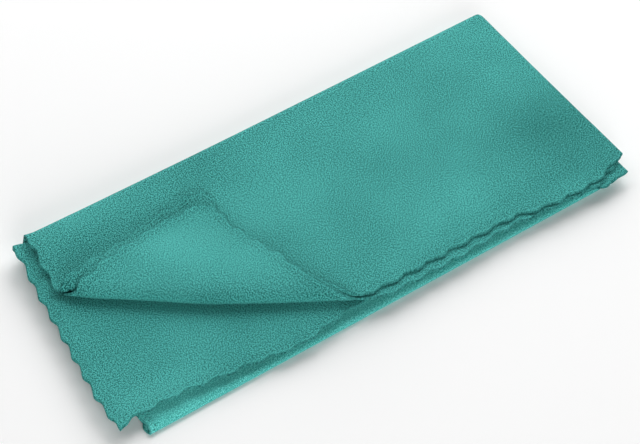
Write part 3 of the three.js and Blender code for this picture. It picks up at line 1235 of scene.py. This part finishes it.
    def dots(self, way: Value, inside: Value) -> Value:
        """Gives the pricked dots: rows at set distances from the cut edge, each half a step on from the last.

        Args:
            way: The way along the edge, in metres.
            inside: The distance from it, in metres.

        Returns:
            1 in a dot's middle, and 0 outside the dots.
        """
        total: Value | None = None
        for row, distance in enumerate(self.dot_rows):
            across = inside / MM - distance
            steps = way / (self.dot_step * MM) + row / 2
            beside = steps.fraction() * self.dot_step - self.dot_step / 2
            away = (across * across + beside * beside).power(0.5)
            dot = away.ramp(self.dot_size, self.dot_size * self.dot_core)
            total = dot if total is None else total + dot
        return total


# ---- The studio --------------------------------------------------------------


@dataclass(frozen=True)
class Lamp:
    """A square light that faces the towel: its place from the towel's middle, its side, and its watts."""

    name: str
    place: tuple[float, float, float]
    side: float
    power: float

    def build(self, middle: Vector) -> None:
        """Adds the light.

        Args:
            middle: The middle of the towel.
        """
        light = bpy.data.lights.new(self.name, "AREA")
        light.size = self.side
        light.energy = self.power
        lamp = bpy.data.objects.new(self.name, light)
        lamp.location = middle + Vector(self.place)
        lamp.rotation_euler = (-Vector(self.place)).to_track_quat("-Z", "Y").to_euler()
        bpy.context.scene.collection.objects.link(lamp)


@dataclass(frozen=True)
class Studio:
    """A plain pale floor and soft light: broad over the far side, one on the right and a low fill in front.

    Its sizes are in metres.
    """

    floor_size: float = 6.0
    floor_tone: float = 0.97
    floor_roughness: float = 0.9
    floor_specular: float = 0.1
    sky: float = 0.08
    lamps: tuple[Lamp, ...] = (
        Lamp("broad", (0.09, 1.04, 0.94), 1.8, 16.0),
        Lamp("side", (0.90, 0.52, 0.94), 1.2, 13.4),
        Lamp("fill", (-0.45, -1.24, 0.48), 0.8, 12.0),
    )

    def build(self, middle: Vector) -> None:
        """Makes the floor, the lights and the even surroundings.

        Args:
            middle: The middle of the towel.
        """
        self.floor()
        for lamp in self.lamps:
            lamp.build(middle)
        world = bpy.data.worlds.new("surroundings")
        world.use_nodes = True
        background = world.node_tree.nodes["Background"]
        background.inputs["Color"].default_value = (1.0, 1.0, 1.0, 1.0)
        background.inputs["Strength"].default_value = self.sky
        bpy.context.scene.world = world
        bpy.context.scene.view_settings.view_transform = "Standard"

    def floor(self) -> None:
        """Makes the floor: one square, in the frame's ground plane."""
        half = self.floor_size / 2
        corners = [(-half, -half, 0), (half, -half, 0), (half, half, 0), (-half, half, 0)]
        mesh = bpy.data.meshes.new("floor")
        mesh.from_pydata(corners, [], [(0, 1, 2, 3)])
        floor = bpy.data.objects.new("floor", mesh)
        bpy.context.scene.collection.objects.link(floor)
        shader = Shader("pale_floor")
        surface = {
            "Base Color": (self.floor_tone, self.floor_tone, self.floor_tone, 1.0),
            "Roughness": self.floor_roughness,
            "Specular IOR Level": self.floor_specular,
        }
        shader.put(shader.principled, surface)
        mesh.materials.append(shader.material)


@dataclass(frozen=True)
class ViewCamera:
    """The camera: it looks at a place in the pack from the near side, above and to the left.

    Its distance, target, lens and sensor are in millimetres, its angles in degrees and its clip end in metres.
    """

    azimuth: float = -34.276
    elevation: float = 50.119
    distance: float = 821.5
    target: tuple[float, float, float] = (92.71, 41.04, 5.0)
    lens: float = 128.3
    sensor: float = 36.0
    clip_end: float = 100.0

    def build(self, shift: Array) -> None:
        """Places the camera and makes it the scene's.

        Args:
            shift: From the pack's own corner to the frame's origin, in metres.
        """
        a, e = math.radians(self.azimuth), math.radians(self.elevation)
        ahead = Vector((-math.sin(a) * math.cos(e), math.cos(a) * math.cos(e), -math.sin(e)))
        target = Vector(self.target) * MM + Vector(shift)
        data = bpy.data.cameras.new("view")
        data.lens = self.lens
        data.sensor_width = self.sensor
        data.clip_end = self.clip_end
        camera = bpy.data.objects.new("view", data)
        camera.location = target - ahead * self.distance * MM
        camera.rotation_euler = ahead.to_track_quat("-Z", "Y").to_euler()
        bpy.context.scene.collection.objects.link(camera)
        bpy.context.scene.camera = camera


def main() -> None:
    """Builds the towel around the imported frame, dresses it, and sets up the studio."""
    logging.basicConfig(level=logging.INFO, format="%(name)s: %(message)s")
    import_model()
    towel = Towel()
    piece = towel.build()
    LOG.info("%s: %d faces", piece.name, len(piece.data.polygons))
    Microfibre().dress(piece)
    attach(piece, "root")
    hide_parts("towel")
    flat = (towel.pack.width * MM, towel.pack.length * MM)
    low, high = (Vector(corner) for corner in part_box("towel"))
    Studio().build((low + high) / 2)
    ViewCamera().build(towel.shift)
    bpy.context.view_layer.update()


if __name__ == "__main__":
    main()
